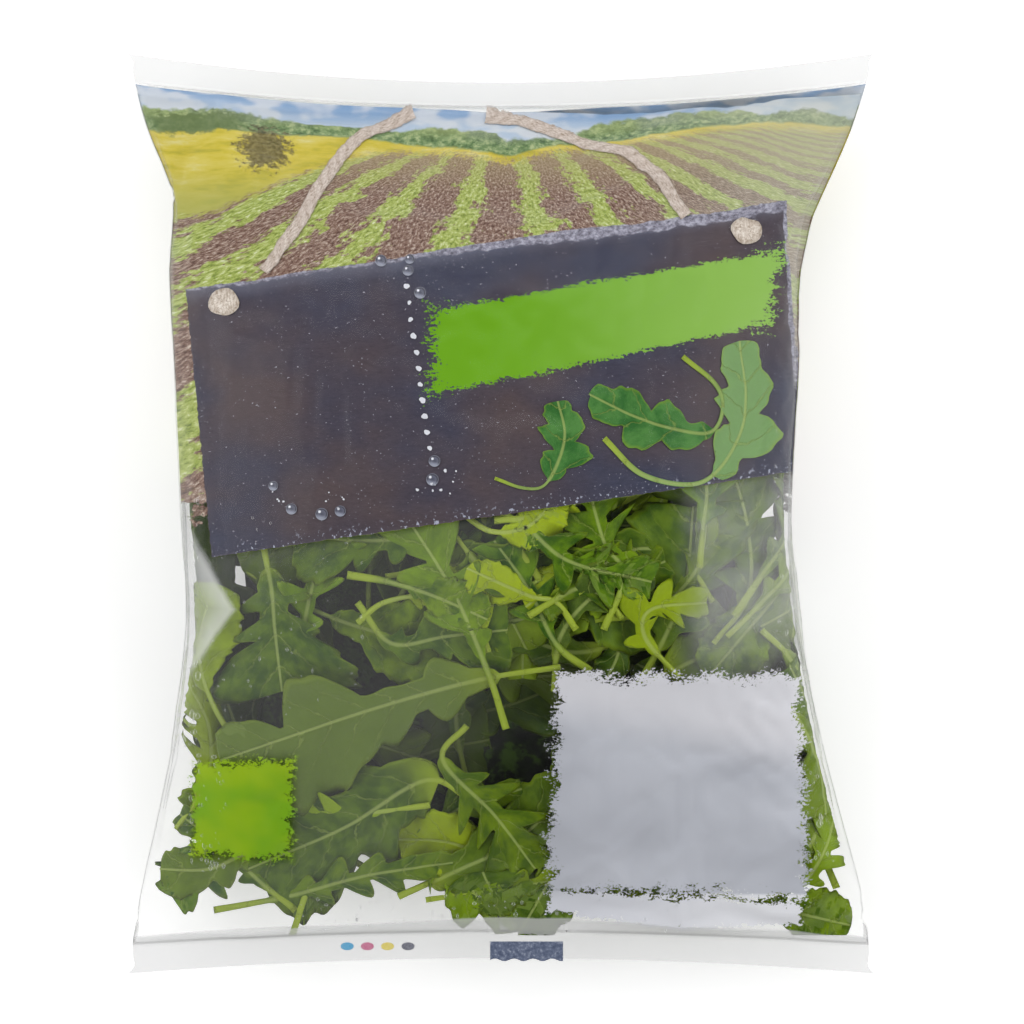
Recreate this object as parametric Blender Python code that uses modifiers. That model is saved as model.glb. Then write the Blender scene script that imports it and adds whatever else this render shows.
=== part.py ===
# Sealed pillow bag of salad leaves, lying on its back on a table.
# X runs across the bag, Y along it towards its top seal, and +Z is the printed front.
# The origin is on the table, under the middle of the bag.
import math

import bmesh
import bpy

# Overall sizes of the filled bag, in metres.
BAG_LENGTH = 0.271
GIRTH = 0.4372  # all round the film tube, once its small creases are taken up
SEAL_DEPTH = 0.010  # height of the flat heat-sealed strip at each end
SEAL_THICKNESS = 0.0012
SEAL_HEIGHT = 0.020  # the strips hang this far above the table

# Half the width of the bag at stations along its length: (share of the length, half width).
OUTLINE = [
    (0.00, 0.1096),
    (0.07, 0.1072),
    (0.22, 0.0975),
    (0.40, 0.0897),
    (0.60, 0.0900),
    (0.80, 0.0946),
    (0.92, 0.1045),
    (1.00, 0.1098),
]
# How far the middle line of the bag is pushed sideways, from its seals to its fullest point.
LEAN = -0.0045
LEAN_AT = 0.68

# The cross-section: which share of the thickness lies above the side folds, and how square it is.
ABOVE_FOLD = 0.57
BELOW_FOLD = 0.50
FRONT_SQUARENESS = 2.5
BACK_SQUARENESS = 3.0
FOLD_HEIGHT_SHARE = 0.43

# The seals are drawn in at their middle by the filling.
TOP_SEAL_DIP = 0.0085
BOTTOM_SEAL_DIP = 0.0045

# Gathers that run from each seal into the body, and dents where a side fold has buckled.
GATHER_COUNT = 4.5
GATHER_DEPTH = 0.0016
GATHER_REACH = 0.030
DENT_DEPTH = 0.0030
DENT_REACH = 0.012
# (share of the length, side): -1 is the left fold, +1 the right one.
DENTS = [(0.385, -1), (0.85, -1), (0.80, 1), (0.52, 1)]

# The coarse cage, which a Subdivision Surface then smooths.
CELLS_ACROSS = 18
CELLS_ALONG = 26
LAST_ANGLE = 0.95  # the outer columns stop this share of the way round to the side fold
SUBDIVISIONS = 1


def clear_scene():
    for old in list(bpy.data.objects):
        bpy.data.objects.remove(old)


def smooth_step(value):
    value = min(max(value, 0.0), 1.0)
    return value * value * (3.0 - 2.0 * value)


def half_width(share):
    """Half the bag's width at a share of its length, on a smooth curve through OUTLINE."""
    last = len(OUTLINE) - 1
    slopes = []
    for place in range(last + 1):
        (start, low), (end, high) = OUTLINE[max(place - 1, 0)], OUTLINE[min(place + 1, last)]
        slopes.append((high - low) / (end - start))
    for place in range(last):
        (start, low), (end, high) = OUTLINE[place], OUTLINE[place + 1]
        if share <= end:
            span = end - start
            t = max(0.0, (share - start) / span)
            return (
                low * (1.0 + 2.0 * t) * (1.0 - t) ** 2
                + span * slopes[place] * t * (1.0 - t) ** 2
                + high * t * t * (3.0 - 2.0 * t)
                + span * slopes[place + 1] * t * t * (t - 1.0)
            )
    return OUTLINE[last][1]


def thickness(share):
    """A tube of fixed girth is as thick as its width leaves it, from a flat seal to a round-sided section."""
    spare = GIRTH - 4.0 * half_width(share)
    return max(SEAL_THICKNESS, spare / (math.pi - 2.0))


def lean(share):
    side = share / LEAN_AT if share < LEAN_AT else (1.0 - share) / (1.0 - LEAN_AT)
    return LEAN * smooth_step(side)


def fold_height(share):
    """Height of the side folds above the table."""
    return max(SEAL_HEIGHT, FOLD_HEIGHT_SHARE * thickness(share))


def gather(across, share, side):
    """The ripple of the film's gathers, deepest just inside a seal and gone in the body."""
    from_seal = min(share, 1.0 - share) * BAG_LENGTH - SEAL_DEPTH
    if from_seal <= 0.0:
        return 0.0
    rise = smooth_step(from_seal / (0.4 * GATHER_REACH))
    fade = math.exp(-from_seal / GATHER_REACH)
    phase = 0.9 if share > 0.5 else 2.2
    return side * GATHER_DEPTH * rise * fade * math.cos(GATHER_COUNT * math.pi * across + phase)


def dent(across, share):
    """How far a buckled side fold is pushed in towards the middle of the bag."""
    pushed = 0.0
    for place, side in DENTS:
        along = (share - place) * BAG_LENGTH / DENT_REACH
        near_fold = max(0.0, across * side) ** 6
        pushed -= side * DENT_DEPTH * near_fold * math.exp(-along * along)
    return pushed


def shaped(across, share, side):
    """The place of the film point at across (-1 to 1), share (0 to 1) and side (1 front, -1 back)."""
    angle = across * LAST_ANGLE * math.pi / 2.0
    squareness = FRONT_SQUARENESS if side > 0 else BACK_SQUARENESS
    in_from_middle = abs(math.sin(angle)) ** (2.0 / squareness)
    x = lean(share) + math.copysign(in_from_middle, across) * half_width(share) + dent(across, share)
    dip = TOP_SEAL_DIP if share > 0.5 else BOTTOM_SEAL_DIP
    end_pull = dip * (1.0 - across * across) * abs(2.0 * share - 1.0) ** 3
    y = (share - 0.5) * BAG_LENGTH + (-end_pull if share > 0.5 else end_pull)
    reach = (ABOVE_FOLD if side > 0 else BELOW_FOLD) * thickness(share)
    bulge = side * reach * math.cos(angle) ** (2.0 / squareness)
    z = fold_height(share) + bulge + gather(across, share, side)
    return x, y, max(z, 0.0)


def station(cell):
    """Stations crowd together at the seals, where the film bends most."""
    share = cell / CELLS_ALONG
    return 0.5 - 0.5 * math.cos(math.pi * share) if 0 < cell < CELLS_ALONG else share


def make_bag():
    """A cube, cut into a grid on its front and back, is bent to the shape of the bag and smoothed."""
    mesh = bpy.data.meshes.new("salad_bag")
    cage = bmesh.new()
    bmesh.ops.create_cube(cage, size=2.0)
    for axis, cells in ((0, CELLS_ACROSS), (1, CELLS_ALONG)):
        for cell in range(1, cells):
            place = [0.0, 0.0, 0.0]
            place[axis] = 2.0 * cell / cells - 1.0
            normal = [float(axis == 0), float(axis == 1), 0.0]
            bmesh.ops.bisect_plane(
                cage, geom=cage.verts[:] + cage.edges[:] + cage.faces[:], plane_co=place, plane_no=normal
            )
    for vertex in cage.verts:
        across = vertex.co.x
        share = station(round((vertex.co.y + 1.0) * 0.5 * CELLS_ALONG))
        vertex.co = shaped(across, share, 1 if vertex.co.z > 0 else -1)
    bmesh.ops.recalc_face_normals(cage, faces=cage.faces[:])
    cage.to_mesh(mesh)
    cage.free()
    bag = bpy.data.objects.new("salad_bag", mesh)
    smoothing = bag.modifiers.new("smooth film", "SUBSURF")
    smoothing.levels = SUBDIVISIONS
    smoothing.render_levels = SUBDIVISIONS
    mesh.shade_smooth()
    return bag


def film_material():
    material = bpy.data.materials.new("salad seen through film")
    material.use_nodes = True
    shader = material.node_tree.nodes["Principled BSDF"]
    shader.inputs["Base Color"].default_value = (0.13, 0.22, 0.06, 1.0)
    shader.inputs["Roughness"].default_value = 0.2
    shader.inputs["Metallic"].default_value = 0.0
    return material


def main():
    clear_scene()
    collection = bpy.data.collections.new("bag_of_salad_leaves")
    bpy.context.scene.collection.children.link(collection)
    bag = make_bag()
    bag.data.materials.append(film_material())
    collection.objects.link(bag)


main()
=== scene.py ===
import math
import random

import bmesh
import bpy
import numpy as np
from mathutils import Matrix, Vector
from mathutils.bvhtree import BVHTree


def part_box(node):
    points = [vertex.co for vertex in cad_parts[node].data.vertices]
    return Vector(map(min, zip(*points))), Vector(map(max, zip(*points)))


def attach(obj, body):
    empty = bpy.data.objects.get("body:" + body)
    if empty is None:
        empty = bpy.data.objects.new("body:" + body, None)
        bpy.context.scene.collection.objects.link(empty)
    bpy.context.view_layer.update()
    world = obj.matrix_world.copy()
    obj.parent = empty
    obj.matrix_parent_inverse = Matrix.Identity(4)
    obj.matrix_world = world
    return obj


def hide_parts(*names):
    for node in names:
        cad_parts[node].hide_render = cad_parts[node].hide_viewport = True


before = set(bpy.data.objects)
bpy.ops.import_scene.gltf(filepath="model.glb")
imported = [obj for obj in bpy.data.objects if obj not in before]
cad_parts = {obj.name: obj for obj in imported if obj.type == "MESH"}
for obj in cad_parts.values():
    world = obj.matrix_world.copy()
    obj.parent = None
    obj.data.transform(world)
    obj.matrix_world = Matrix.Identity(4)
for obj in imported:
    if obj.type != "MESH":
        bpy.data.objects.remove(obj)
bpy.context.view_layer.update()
bagNode = "salad_bag"
low, high = [Vector(corner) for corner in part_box(bagNode)]
bagLength = high.y - low.y
mm = 0.001
view = {"lens": 100.0, "sensor": 36.0, "width": 0.2995, "centre": (3.2 * mm, 0.4 * mm), "level": 22 * mm}
viewDistance = view["width"] * view["lens"] / view["sensor"]


# shader helpers
class Flow:  # a node's output socket, usable in plain arithmetic
    def __init__(self, finish, socket):
        self.finish, self.socket = finish, socket

    def maths(self, operation, *values):
        return self.finish.node("ShaderNodeMath", {"operation": operation}, dict(enumerate(values)))

    def __add__(self, other):
        return self.maths("ADD", self, other)

    def __sub__(self, other):
        return self.maths("SUBTRACT", self, other)

    def __rsub__(self, other):
        return self.maths("SUBTRACT", other, self)

    def __mul__(self, other):
        return self.maths("MULTIPLY", self, other)

    def __truediv__(self, other):
        return self.maths("DIVIDE", self, other)

    def __pow__(self, other):
        return self.maths("POWER", self, other)

    def __abs__(self):
        return self.maths("ABSOLUTE", self)

    def least(self, other):
        return self.maths("MINIMUM", self, other)

    def most(self, other):
        return self.maths("MAXIMUM", self, other)

    def wave(self):
        return self.maths("SINE", self)

    __radd__ = __add__
    __rmul__ = __mul__


socketNames = {
    "colour": "Base Color", "metallic": "Metallic", "roughness": "Roughness",
    "specular": "Specular IOR Level", "normal": "Normal", "glow": "Emission Color",
}


class Finish:  # one material and the nodes that make it
    def __init__(self, name, **constants):
        self.material = bpy.data.materials.new(name)
        self.material.use_nodes = True
        self.tree = self.material.node_tree
        self.shader = self.tree.nodes["Principled BSDF"]
        self.end = self.tree.nodes["Material Output"].inputs["Surface"]
        self.feed(**constants)

    def node(self, kind, settings=None, sockets=None, out=0):
        made = self.tree.nodes.new(kind)
        for name, value in (settings or {}).items():
            if name == "stops":
                ramp = made.color_ramp
                while len(ramp.elements) < len(value):
                    ramp.elements.new(0.5)
                for element, (place, colour) in zip(ramp.elements, value):
                    element.position, element.color = place, (*colour, 1.0)
            else:
                setattr(made, name, value)
        for name, value in (sockets or {}).items():
            self.plug(made.inputs[name], value)
        return Flow(self, made.outputs[out])

    def plug(self, socket, value):
        if isinstance(value, Flow):
            self.tree.links.new(value.socket, socket)
        elif socket.type == "RGBA":
            socket.default_value = (*value[:3], 1.0)
        else:
            socket.default_value = value

    def feed(self, **sockets):
        for name, value in sockets.items():
            self.plug(self.shader.inputs[socketNames[name]], value)

    def stored(self, name):  # a vector kept on the piece's points
        return self.node("ShaderNodeAttribute", {"attribute_name": name}, out=1)

    def split(self, vector):
        first = self.node("ShaderNodeSeparateXYZ", sockets={0: vector})
        return [Flow(self, output) for output in first.socket.node.outputs]

    def place(self, name):  # the parts of a stored vector, which the noises then follow too
        self.where = self.stored(name)
        return self.split(self.where)

    def noise(self, size, vector=None, detail=2.0, rough=0.5, stretch=(1.0, 1.0, 1.0), shift=0.0):
        moved = self.node(
            "ShaderNodeMapping",
            sockets={0: vector or self.where, 1: (shift, shift * 0.7, shift * 0.3), 3: stretch},
        )
        return self.node(
            "ShaderNodeTexNoise",
            sockets={"Vector": moved, "Scale": 1.0 / size, "Detail": detail, "Roughness": rough},
        )

    def step(self, value, start, end):  # 0 to 1 as value goes from start to end
        return self.node(
            "ShaderNodeMapRange",
            {"interpolation_type": "SMOOTHSTEP"},
            {"Value": value, "From Min": start, "From Max": end},
        )

    def mix(self, share, first, second, blend="MIX"):
        return self.node(
            "ShaderNodeMix",
            {"data_type": "RGBA", "blend_type": blend},
            {0: share, 6: first, 7: second},
            out=2,
        )

    def ramp(self, value, *stops):
        return self.node("ShaderNodeValToRGB", {"stops": stops}, {0: value})

    def bump(self, height, distance, strength=1.0):
        sockets = {"Height": height, "Distance": distance, "Strength": strength}
        self.feed(normal=self.node("ShaderNodeBump", sockets=sockets))

    def seeThrough(self, share):  # clear where share is 0, the shader where it is 1
        clear = self.node("ShaderNodeBsdfTransparent")
        body = Flow(self, self.shader.outputs[0])
        blend = self.node("ShaderNodeMixShader", sockets={0: share, 1: clear, 2: body})
        self.tree.links.new(blend.socket, self.end)

    def beside(self, x, y, start, end):  # distance to the left of the line from start to end
        (ax, ay), (bx, by) = start, end
        length = math.hypot(bx - ax, by - ay)
        nx, ny = -(by - ay) / length, (bx - ax) / length
        return x * nx + y * ny - (ax * nx + ay * ny)

    def inside(self, x, y, corners):  # distance inside a convex outline, corners counter-clockwise
        depth = self.beside(x, y, corners[-1], corners[0])
        for start, end in zip(corners, corners[1:]):
            depth = depth.least(self.beside(x, y, start, end))
        return depth


def linear(red, green, blue):  # a colour as seen, 0 to 255, to the shader's linear values
    return tuple((part / 255.0) ** 2.2 for part in (red, green, blue))


def newObject(name, verts, faces):
    mesh = bpy.data.meshes.new(name)
    mesh.from_pydata([tuple(vert) for vert in verts], [], faces)
    mesh.update()
    made = bpy.data.objects.new(name, mesh)
    bpy.context.scene.collection.objects.link(made)
    return made


def newPiece(name, verts, faces, finish):
    piece = newObject(name, verts, faces)
    piece.data.materials.append(finish)
    piece.data.shade_smooth()
    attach(piece, "root")
    return piece


def stripFaces(rows, columns, start=0):  # the quads of a grid of points, numbered row by row
    faces = []
    for row in range(rows - 1):
        for column in range(columns - 1):
            a = start + row * columns + column
            faces.append([a, a + 1, a + 1 + columns, a + columns])
    return faces


def store(piece, name, values):  # a vector for each point, for the shaders to read
    layer = piece.data.attributes.new(name, "FLOAT_VECTOR", "POINT")
    layer.data.foreach_set("vector", np.asarray(values, dtype=float).ravel())


def layOut(piece, places):  # the UV map that the baked finish will use, from one place for each point
    layer = piece.data.uv_layers.new(name="OFBake")
    corner = np.empty(len(piece.data.loops), dtype=int)
    piece.data.loops.foreach_get("vertex_index", corner)
    layer.data.foreach_set("uv", np.asarray(places, dtype=float)[corner].ravel())


# the bag's shape, read from the solid
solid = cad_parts[bagNode].data
skin = BVHTree.FromPolygons([v.co for v in solid.vertices], [p.vertices for p in solid.polygons])
reach = 1.0
sealHeight = min((v.co for v in solid.vertices), key=lambda co: co.y).z


def fold(y, side):  # the point of the side fold at a place along the bag
    hits = []
    for z in np.linspace(low.z + 0.4 * mm, high.z, 48):
        hit = skin.ray_cast(Vector((side * reach, y, z)), Vector((-side, 0, 0)))[0]
        if hit:
            hits.append(hit)
    return max(hits, key=lambda hit: side * hit.x) if hits else Vector((side * high.x, y, sealHeight))


def heights(surface, x, y):  # the underside and top at a place, or None outside the outline
    over = surface.ray_cast(Vector((x, y, reach)), Vector((0, 0, -1)))[0]
    under = surface.ray_cast(Vector((x, y, -reach)), Vector((0, 0, 1)))[0]
    return (under.z, over.z) if over and under else None


mapStep = 1.5 * mm
mapAcross = np.arange(low.x, high.x + mapStep, mapStep)
mapAlong = np.arange(low.y, high.y + mapStep, mapStep)
surfaceMap = np.full((len(mapAcross), len(mapAlong), 2), np.nan)
for i, x in enumerate(mapAcross):
    for j, y in enumerate(mapAlong):
        found = heights(skin, x, y)
        if found:
            surfaceMap[i, j] = found
outlineAlong = np.linspace(low.y + 0.3 * mm, high.y - 0.3 * mm, 120)
outline = np.array([[tuple(fold(y, side)) for y in outlineAlong] for side in (-1, 1)])
surfaceMap[np.isnan(surfaceMap)] = sealHeight


def surfaces(x, y):  # the underside and top at many places, between the map's points
    x, y = np.asarray(x, dtype=float), np.asarray(y, dtype=float)
    across = np.clip((x - mapAcross[0]) / mapStep, 0, len(mapAcross) - 1.001)
    along = np.clip((y - mapAlong[0]) / mapStep, 0, len(mapAlong) - 1.001)
    i, j = across.astype(int), along.astype(int)
    p, q = (across - i)[..., None], (along - j)[..., None]
    blend = (
        surfaceMap[i, j] * (1 - p) * (1 - q)
        + surfaceMap[i + 1, j] * p * (1 - q)
        + surfaceMap[i, j + 1] * (1 - p) * q
        + surfaceMap[i + 1, j + 1] * p * q
    )
    return blend[..., 0], blend[..., 1]


def sides(y):  # the x of both side folds at many places
    return [np.interp(y, outlineAlong, outline[side, :, 0]) for side in (0, 1)]


def asSeen(places):  # points in space to where they look to be from above, at the level of the view
    places = np.asarray(places, dtype=float)
    nearer = viewDistance / (viewDistance + view["level"] - places[..., 2:3])
    return view["centre"] + (places[..., :2] - view["centre"]) * nearer


def asPlaced(flat, z):  # the other way, for points at a known height
    nearer = viewDistance / (viewDistance + view["level"] - np.asarray(z, dtype=float))
    return view["centre"] + (np.asarray(flat, dtype=float) - view["centre"]) / nearer[..., None]


print("bag shape read")

# the film: a tube with a flat seal at each end, wrinkled as cloth
film = {
    "cellsAcross": 78,
    "cellsAlong": 92,
    "sealRows": 4,
    "sealDepth": 8.4 * mm,
    "topDip": 8.5 * mm,
    "bottomDip": 4.5 * mm,
    "slackMiddle": 0.008,
    "slackSides": 0.06,
    "sealSlack": 0.5,
    "hold": 0.08,
    "frames": 24,
    "cloth": {
        "quality": 5, "mass": 0.0008, "pin_stiffness": 1.0, "air_damping": 2,
        "tension_stiffness": 40, "compression_stiffness": 40, "shear_stiffness": 20,
        "tension_damping": 10, "compression_damping": 10, "shear_damping": 10,
        "bending_model": "ANGULAR", "bending_stiffness": 0.04, "bending_damping": 0.5,
        "use_pressure": True, "uniform_pressure_force": 0.3,
    },
}


def rowPoint(across, share):  # as seen from above, before the height is known
    y = low.y + 0.2 * mm + share * (bagLength - 0.4 * mm)
    left, right = sides(y)
    dip = -film["topDip"] if share > 0.5 else film["bottomDip"]
    bowed = y + dip * (1 - across * across) * abs(2 * share - 1) ** 3
    return (left + right) / 2 + across * (right - left) / 2, bowed


def filmRow(share, side):  # one row of film points, evenly spaced along the curve across the bag
    samples = []
    for across in np.sin(np.linspace(-math.pi / 2, math.pi / 2, 90)):
        x, y = rowPoint(across, share)
        under, over = surfaces(x, y)
        foldZ = np.interp(y, outlineAlong, outline[int(across > 0), :, 2])
        z = float(over if side > 0 else under)
        rim = max(0.0, abs(across) - 0.985) / 0.015
        samples.append((x, y, z * (1 - rim) + foldZ * rim))
    samples = np.array(samples)
    walked = np.concatenate([[0], np.cumsum(np.linalg.norm(np.diff(samples, axis=0), axis=1))])
    marks = np.linspace(0, walked[-1], film["cellsAcross"] + 1)
    return np.stack([np.interp(marks, walked, samples[:, axis]) for axis in range(3)], axis=1)


def filmRows():
    sealShare = film["sealDepth"] / bagLength
    body = np.linspace(sealShare, 1 - sealShare, film["cellsAlong"] + 1)
    fronts, backs = [np.array([filmRow(share, side) for share in body]) for side in (1, -1)]
    for rows in (fronts, backs):  # both sheets meet at the side folds and at the seals
        rows[:, 0], rows[:, -1] = (fronts[:, 0] + backs[:, 0]) / 2, (fronts[:, -1] + backs[:, -1]) / 2
    for end in (0, -1):
        seam = (fronts[end] + backs[end]) / 2
        seam[:, 2] = sealHeight
        fronts[end], backs[end] = seam, seam
    return fronts, backs


fronts, backs = filmRows()
across, along = film["cellsAcross"], film["cellsAlong"]


def gridKey(side, i, j):  # both sides share the points along their edges
    return (0 if i in (0, across) or j in (0, along) else side, i, j)


def filmCage():  # points, faces, the number of each grid point, and how many points the tube has
    verts, faces, number = [], [], {}

    def point(key, place):
        if key not in number:
            number[key] = len(verts)
            verts.append(place)
        return number[key]

    def bodyPoint(side, i, j):
        return point(gridKey(side, i, j), (fronts if side > 0 else backs)[j, i])

    def sealPoint(end, i, row):
        if row == 0:
            return number[(0, i, along * end)]
        fromEnd = film["sealDepth"] * (1 - row / film["sealRows"]) / bagLength
        x, y = rowPoint(2 * i / across - 1, 1 - fromEnd if end else fromEnd)
        return point(("seal", end, i, row), (x, y, sealHeight))

    for side in (1, -1):
        for i in range(across):
            for j in range(along):
                corners = ((i, j), (i + 1, j), (i + 1, j + 1), (i, j + 1))
                quad = [bodyPoint(side, *corner) for corner in corners]
                faces.append(quad if side > 0 else quad[::-1])
    tubeCount = len(verts)
    for end in (0, 1):
        for i in range(across):
            for row in range(film["sealRows"]):
                corners = ((i, row), (i + 1, row), (i + 1, row + 1), (i, row + 1))
                quad = [sealPoint(end, *corner) for corner in corners]
                faces.append(quad if end else quad[::-1])
    return verts, faces, number, tubeCount


def wrinkle(piece, number):  # the flat film, blown up inside the bag's shape, buckles where it has slack
    hold, body, slack = [piece.vertex_groups.new(name=name) for name in ("hold", "body", "slack")]
    body.add(list(range(tubeCount)), 1.0, "REPLACE")
    for key, index in number.items():
        atSeal = key[0] == "seal" or key[2] in (0, along)
        hold.add([index], 1.0 if atSeal else film["hold"], "REPLACE")
        if not atSeal:
            fromMiddle = abs(2 * key[1] / across - 1)
            fromSeal = min(key[2], along - key[2]) / along
            loose = fromMiddle ** 3 + film["sealSlack"] * math.exp(-fromSeal / 0.08)
            slack.add([index], min(1.0, loose), "REPLACE")
    cloth = piece.modifiers.new("film", "CLOTH")
    cloth.collision_settings.use_collision = False
    settings = cloth.settings
    for name, value in film["cloth"].items():
        setattr(settings, name, value)
    settings.vertex_group_mass = "hold"
    settings.vertex_group_shrink = "slack"
    settings.vertex_group_pressure = "body"
    settings.shrink_min, settings.shrink_max = -film["slackMiddle"], -film["slackSides"]
    settings.effector_weights.gravity = 0.0
    cloth.point_cache.frame_start, cloth.point_cache.frame_end = 1, film["frames"]
    for moment in range(1, film["frames"] + 1):
        bpy.context.scene.frame_set(moment)
    shaped = piece.evaluated_get(bpy.context.evaluated_depsgraph_get())
    places = np.empty(len(piece.data.vertices) * 3)
    shaped.data.vertices.foreach_get("co", places)
    piece.modifiers.remove(cloth)
    piece.vertex_groups.clear()
    bpy.context.scene.frame_set(1)
    return places.reshape(-1, 3)


cageVerts, cageFaces, cageNumber, tubeCount = filmCage()
cage = newObject("film_cage", cageVerts, cageFaces)
smoothPlaces = np.array([tuple(vert) for vert in cageVerts])
cagePlaces = wrinkle(cage, cageNumber)
bpy.data.objects.remove(cage)
moved = np.linalg.norm(cagePlaces - smoothPlaces, axis=1)
print("film wrinkled, mean and most, mm:", round(moved.mean() / mm, 2), round(moved.max() / mm, 2))


def refine(grid):  # twice as many points each way, on smooth curves
    for axis in (0, 1):
        rows = np.moveaxis(grid, axis, 0)
        longer = np.concatenate([[2 * rows[0] - rows[1]], rows, [2 * rows[-1] - rows[-2]]])
        between = (9 * (longer[1:-2] + longer[2:-1]) - longer[:-3] - longer[3:]) / 16
        finer = np.empty((2 * len(rows) - 1, *rows.shape[1:]))
        finer[0::2], finer[1::2] = rows, between
        grid = np.moveaxis(finer, 0, axis)
    return grid


def sheetGrid(places, side):  # one side of the tube as rows of points
    index = [[cageNumber[gridKey(side, i, j)] for i in range(across + 1)] for j in range(along + 1)]
    return refine(places[np.array(index)])


def sealGrid(places, end):
    rows = [[cageNumber[(0, i, along * end)] for i in range(across + 1)]]
    for row in range(1, film["sealRows"] + 1):
        rows.append([cageNumber[("seal", end, i, row)] for i in range(across + 1)])
    return refine(places[np.array(rows)])


cagePlaces[:, 2] = np.maximum(cagePlaces[:, 2], 0.0)


def roomInside():  # the map of heights, drawn in to where the wrinkled film lies
    wrinkled = BVHTree.FromPolygons([tuple(place) for place in cagePlaces], cageFaces)
    for i, x in enumerate(mapAcross):
        for j, y in enumerate(mapAlong):
            found = heights(wrinkled, x, y)
            if found:
                surfaceMap[i, j] = max(surfaceMap[i, j, 0], found[0]), min(surfaceMap[i, j, 1], found[1])
    top = surfaceMap[..., 1].copy()
    for a, b in ((0, 1), (1, 0), (0, -1), (-1, 0), (1, 1), (-1, -1)):
        surfaceMap[..., 1] = np.minimum(surfaceMap[..., 1], np.roll(top, (a, b), axis=(0, 1)))


roomInside()
tube = {side: sheetGrid(cagePlaces, side) for side in (1, -1)}
for grid in tube.values():
    grid[..., 2] = np.maximum(grid[..., 2], 0.0)
tubeSeals = {end: sealGrid(cagePlaces, end) for end in (0, 1)}
seen, facings = {}, {}
for side in (1, -1):  # where each point is seen, in mm: across, along, and below the top seal
    flat = sheetGrid(smoothPlaces, side)
    sealLine = np.interp(flat[..., 0], flat[-1, :, 0], flat[-1, :, 1])
    below = (sealLine - flat[..., 1]) / mm
    flat = asSeen(flat) / mm
    seen[side] = np.stack([flat[..., 0] * side, flat[..., 1], below], axis=-1)
    normal = np.cross(np.gradient(tube[side], axis=1), np.gradient(tube[side], axis=0)) * side
    normal /= np.maximum(np.linalg.norm(normal, axis=-1, keepdims=True), 1e-12)
    facings[side] = normal


def sheet(name, side, keep, depth, finish):  # a printed part of the film, just inside it
    grid = tube[side] - facings[side] * depth
    rowCount, columnCount = grid.shape[:2]
    middleSeen = (seen[side][:-1, :-1] + seen[side][1:, 1:]) / 2
    used, verts, places, faces = {}, [], [], []
    for j in range(rowCount - 1):
        for i in range(columnCount - 1):
            if not keep(*middleSeen[j, i]):
                continue
            quad = []
            for corner in ((j, i), (j, i + 1), (j + 1, i + 1), (j + 1, i)):
                if corner not in used:
                    used[corner] = len(verts)
                    verts.append(grid[corner])
                    places.append(seen[side][corner])
                quad.append(used[corner])
            faces.append(quad if side > 0 else quad[::-1])
    piece = newPiece(name, verts, faces, finish)
    store(piece, "seen", places)
    flat = np.array(places)[:, :2]
    span = (flat.max(axis=0) - flat.min(axis=0)).max()
    layOut(piece, (flat - flat.min(axis=0)) / span * 0.98 + 0.01)
    return piece


# the film's own finish: clear and glossy with a faint even mist, milky at the lower left, with a painted
# reflection band on the right slope and painted glare along the left fold's creases
haze = {
    "plain": 0.006,
    "rim": 0.40,
    "mist": 0.001,
    # the share of the painted reflection band on the right slope
    "right": 0.18,
    "lowLeft": 0.055,
    "seal": 0.46,
    "fold": [(-77.2, -27.6), (-95.5, 3.0), (-96.0, -53.0)],
    "patch": (-75.4, -85.8, 15.0, 14.6),  # no haze over it: its middle and half size
    "clear": (0.92, 0.925, 0.93),
    "topSeal": (0.80, 0.80, 0.805),
    "footSeal": (0.76, 0.76, 0.765),
}


def filmFinish():
    finish = Finish("clear film")
    x, y, below = finish.place("seen")
    facing = finish.node("ShaderNodeLayerWeight", sockets={"Blend": 0.5}, out=1)
    gloss = facing ** 3.0 * haze["rim"] + haze["plain"]
    cloudy = finish.noise(34.0, detail=4.0, rough=0.6)
    wavy = 6.0 * (finish.noise(26.0, detail=2.0) - 0.5)
    unprinted = finish.step(y - 0.145 * x, 1.0, -2.0)
    # painted reflection: a milky band down the right slope below the board, standing in for a softbox's
    # reflection
    right = finish.step(x + 1.6 * wavy, 49.0, 60.0) * finish.step(y, -62.0, -30.0)
    right = right * (0.65 + 0.7 * finish.step(cloudy, 0.4, 0.62)) * unprinted
    lowLeft = finish.step(x - 0.3 * (y + 80.0) + 2.0 * wavy, 2.0, -34.0) * unprinted
    patchX, patchY, patchWide, patchTall = haze["patch"]
    overPatch = (abs(x - patchX) / patchWide).most(abs(y - patchY) / patchTall)
    lowLeft = lowLeft * finish.step(overPatch, 0.9, 1.15)
    # the buckled side fold on the left: painted glare, faint over the fold's inner facet and whitest along
    # its two creases; the same mask dents the bump
    depth = finish.inside(x, y, haze["fold"]) + (cloudy - 0.5) * 3.0
    creaseGlareAndDent = finish.step(depth, -1.4, 1.2) * (0.17 + 0.30 * finish.step(depth, 9.0, 0.6))
    creaseGlareAndDent = creaseGlareAndDent * finish.step(x, -99.0, -84.0)
    topSeal = finish.step(below, 0.4, -0.2) * finish.step(y, 0.0, 10.0)
    footSeal = finish.step(y + 0.00040 * x * x, -118.9, -119.6)
    pressed = topSeal.most(footSeal)
    # the milky share: the even mist, the lower-left haze and the painted reflection band on the right
    cloud = haze["mist"] + haze["right"] * right + haze["lowLeft"] * lowLeft
    share = gloss + cloud + creaseGlareAndDent + haze["seal"] * pressed
    tint = finish.mix(topSeal, haze["clear"], haze["topSeal"])
    tint = finish.mix(footSeal, tint, haze["footSeal"])
    rubbed = finish.noise(14.0, detail=3.0)
    finish.feed(colour=tint, metallic=gloss / share, roughness=0.09 + 0.14 * rubbed)
    finish.seeThrough(share.least(0.85))
    ripples = finish.noise(6.0, detail=3.0, stretch=(1.0, 0.6, 1.0)) * 0.5 - creaseGlareAndDent * 1.0
    finish.bump(ripples, 0.5 * mm, 0.35)
    return finish.material


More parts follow.
